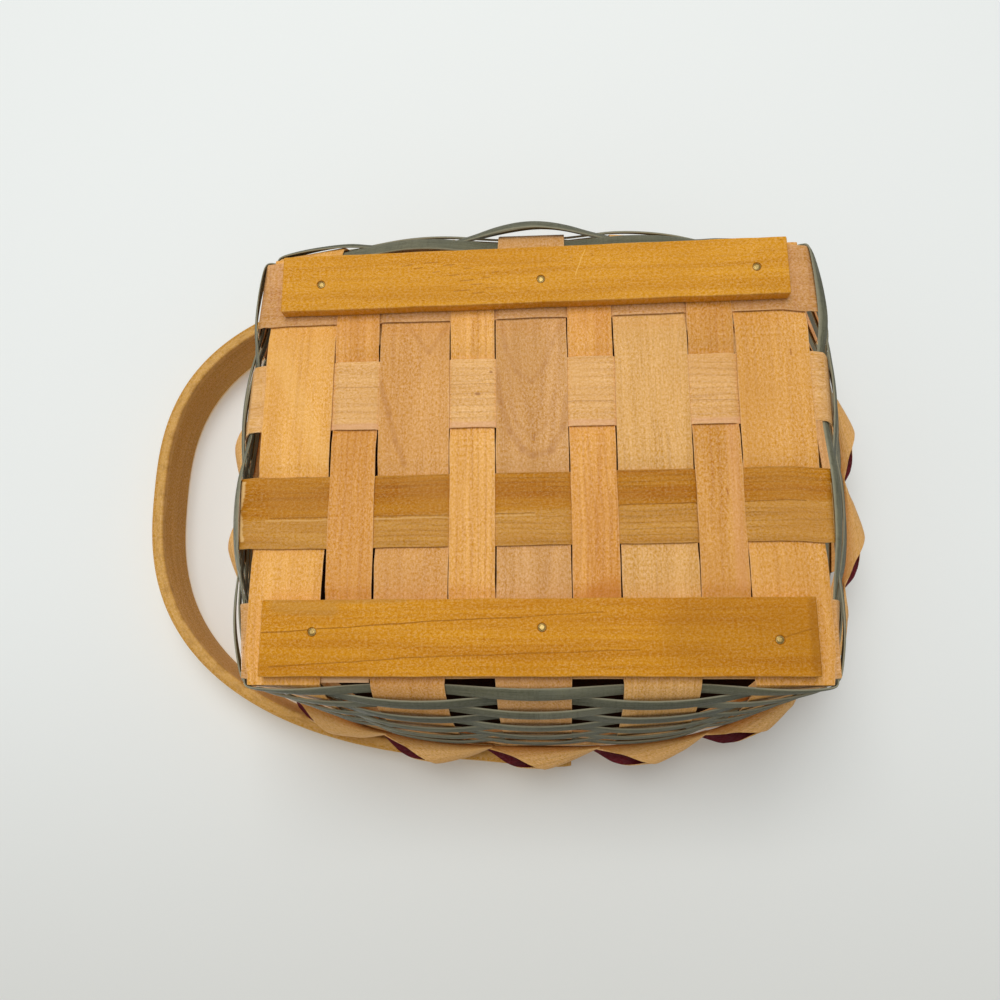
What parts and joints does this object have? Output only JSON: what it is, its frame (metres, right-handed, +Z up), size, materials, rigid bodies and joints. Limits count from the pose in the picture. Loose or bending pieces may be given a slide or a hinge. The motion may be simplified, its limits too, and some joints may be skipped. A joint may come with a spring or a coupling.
{
  "type": "carry basket",
  "caption": "Deep splint basket with a rounded rim on a flat woven base with wooden runners, a band of curls round the wall and a bentwood swing handle.",
  "frame": {"origin": "middle of the woven base's underside, on the outer-lying splints", "axes": "+Z up out of the open top, +X along the long side towards the side where the handle is laid over, +Y towards the rear long side"},
  "size_m": [0.3939, 0.2868, 0.1335],
  "materials": {
    "outer_splint": "thin sliced hardwood splint, warm honey, satin clear finish",
    "pink_splint": "thin sliced hardwood splint, pinkish tan, satin clear finish",
    "filler_splint": "thin sliced hardwood splint, light honey, satin clear finish",
    "pale_strip": "thin sliced hardwood strip, light tan, satin clear finish",
    "amber_strip": "thin sliced hardwood strip, darker amber, satin clear finish",
    "weaver": "thin splint stained grey-green, dull",
    "curl": "thin splint, honey outside and stained burgundy inside, satin",
    "runner": "solid hardwood slat, amber clear varnish, low gloss",
    "hoop": "bent solid hardwood band, satin clear finish",
    "handle": "bent solid hardwood, satin clear finish",
    "brass": "pale worn brass"
  },
  "bodies": {
    "basket": {"wide_splint_1": "outer_splint", "wide_splint_5": "outer_splint", "wide_splint_2": "pink_splint", "wide_splint_3": "pink_splint", "wide_splint_4": "pink_splint", "filler_splint_1": "filler_splint", "filler_splint_2": "filler_splint", "filler_splint_3": "filler_splint", "filler_splint_4": "filler_splint", "end_strip_1": "pale_strip", "end_strip_2": "amber_strip", "end_strip_3": "pale_strip", "end_strip_4": "pale_strip", "weaver_row_1": "weaver", "weaver_row_2": "weaver", "weaver_row_3": "weaver", "weaver_row_4": "weaver", "weaver_row_5": "weaver", "weaver_row_6": "weaver", "weaver_row_7": "weaver", "weaver_row_8": "weaver", "weaver_row_9": "weaver", "weaver_row_10": "weaver", "weaver_row_11": "weaver", "weaver_row_12": "weaver", "curl_backing_weaver": "curl", "curl_strip": "curl", "outer_rim_hoop": "hoop", "inner_rim_hoop": "hoop", "front_runner": "runner", "rear_runner": "runner", "front_runner_nail_1": "brass", "front_runner_nail_2": "brass", "front_runner_nail_3": "brass", "rear_runner_nail_1": "brass", "rear_runner_nail_2": "brass", "rear_runner_nail_3": "brass", "front_pivot_rivet": "brass", "front_pivot_washer": "brass", "rear_pivot_rivet": "brass", "rear_pivot_washer": "brass"},
    "handle": {"swing_handle": "handle"}
  },
  "joints": [
    {"name": "handle_swing", "type": "hinge", "parent": "basket", "child": "handle", "pos_m": [0.005, 0, 0.11078], "axis": [0, -1, 0], "range_deg": [-3, 183]}
  ]
}
